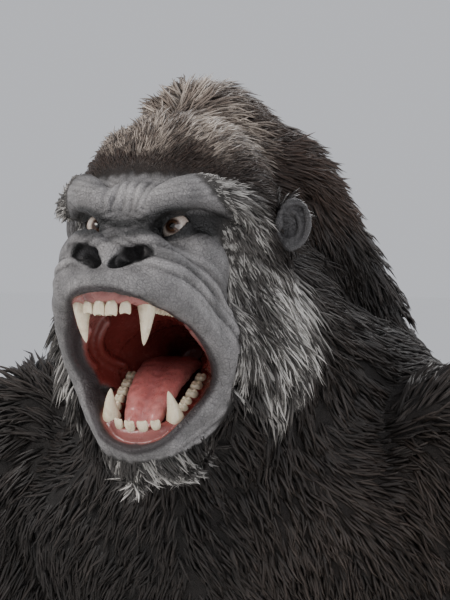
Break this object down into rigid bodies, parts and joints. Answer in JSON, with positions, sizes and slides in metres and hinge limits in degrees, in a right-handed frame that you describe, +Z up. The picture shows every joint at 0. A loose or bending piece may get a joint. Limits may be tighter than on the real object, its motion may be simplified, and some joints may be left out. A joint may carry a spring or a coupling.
{
  "type": "gorilla",
  "caption": "Life-size still model of an adult male gorilla standing on its knuckles and soles, head raised and mouth wide open in a roar, with bare leathery face and thick dark coat",
  "frame": {"origin": "On the floor, under the middle of the model's bounding box", "axes": "+Z up; the animal faces -Y; its left side is +X"},
  "size_m": [0.7926, 1.2116, 1.3184],
  "materials": {
    "coat": "dense matt hair",
    "face_skin": "satin, wrinkled",
    "hand_skin": "dull, cracked",
    "eye": "wet gloss",
    "tongue": "wet satin"
  },
  "bodies": {
    "root": {"head": "face_skin", "jaw": "face_skin", "tongue": "tongue", "neck": "coat", "trunk": "coat", "left_ear": "face_skin", "left_eye": "eye", "left_upper_arm": "coat", "left_forearm": "coat", "left_hand": "hand_skin", "left_thigh": "coat", "left_shin": "coat", "left_foot": "hand_skin", "right_ear": "face_skin", "right_eye": "eye", "right_upper_arm": "coat", "right_forearm": "coat", "right_hand": "hand_skin", "right_thigh": "coat", "right_shin": "coat", "right_foot": "hand_skin"}
  },
  "joints": []
}
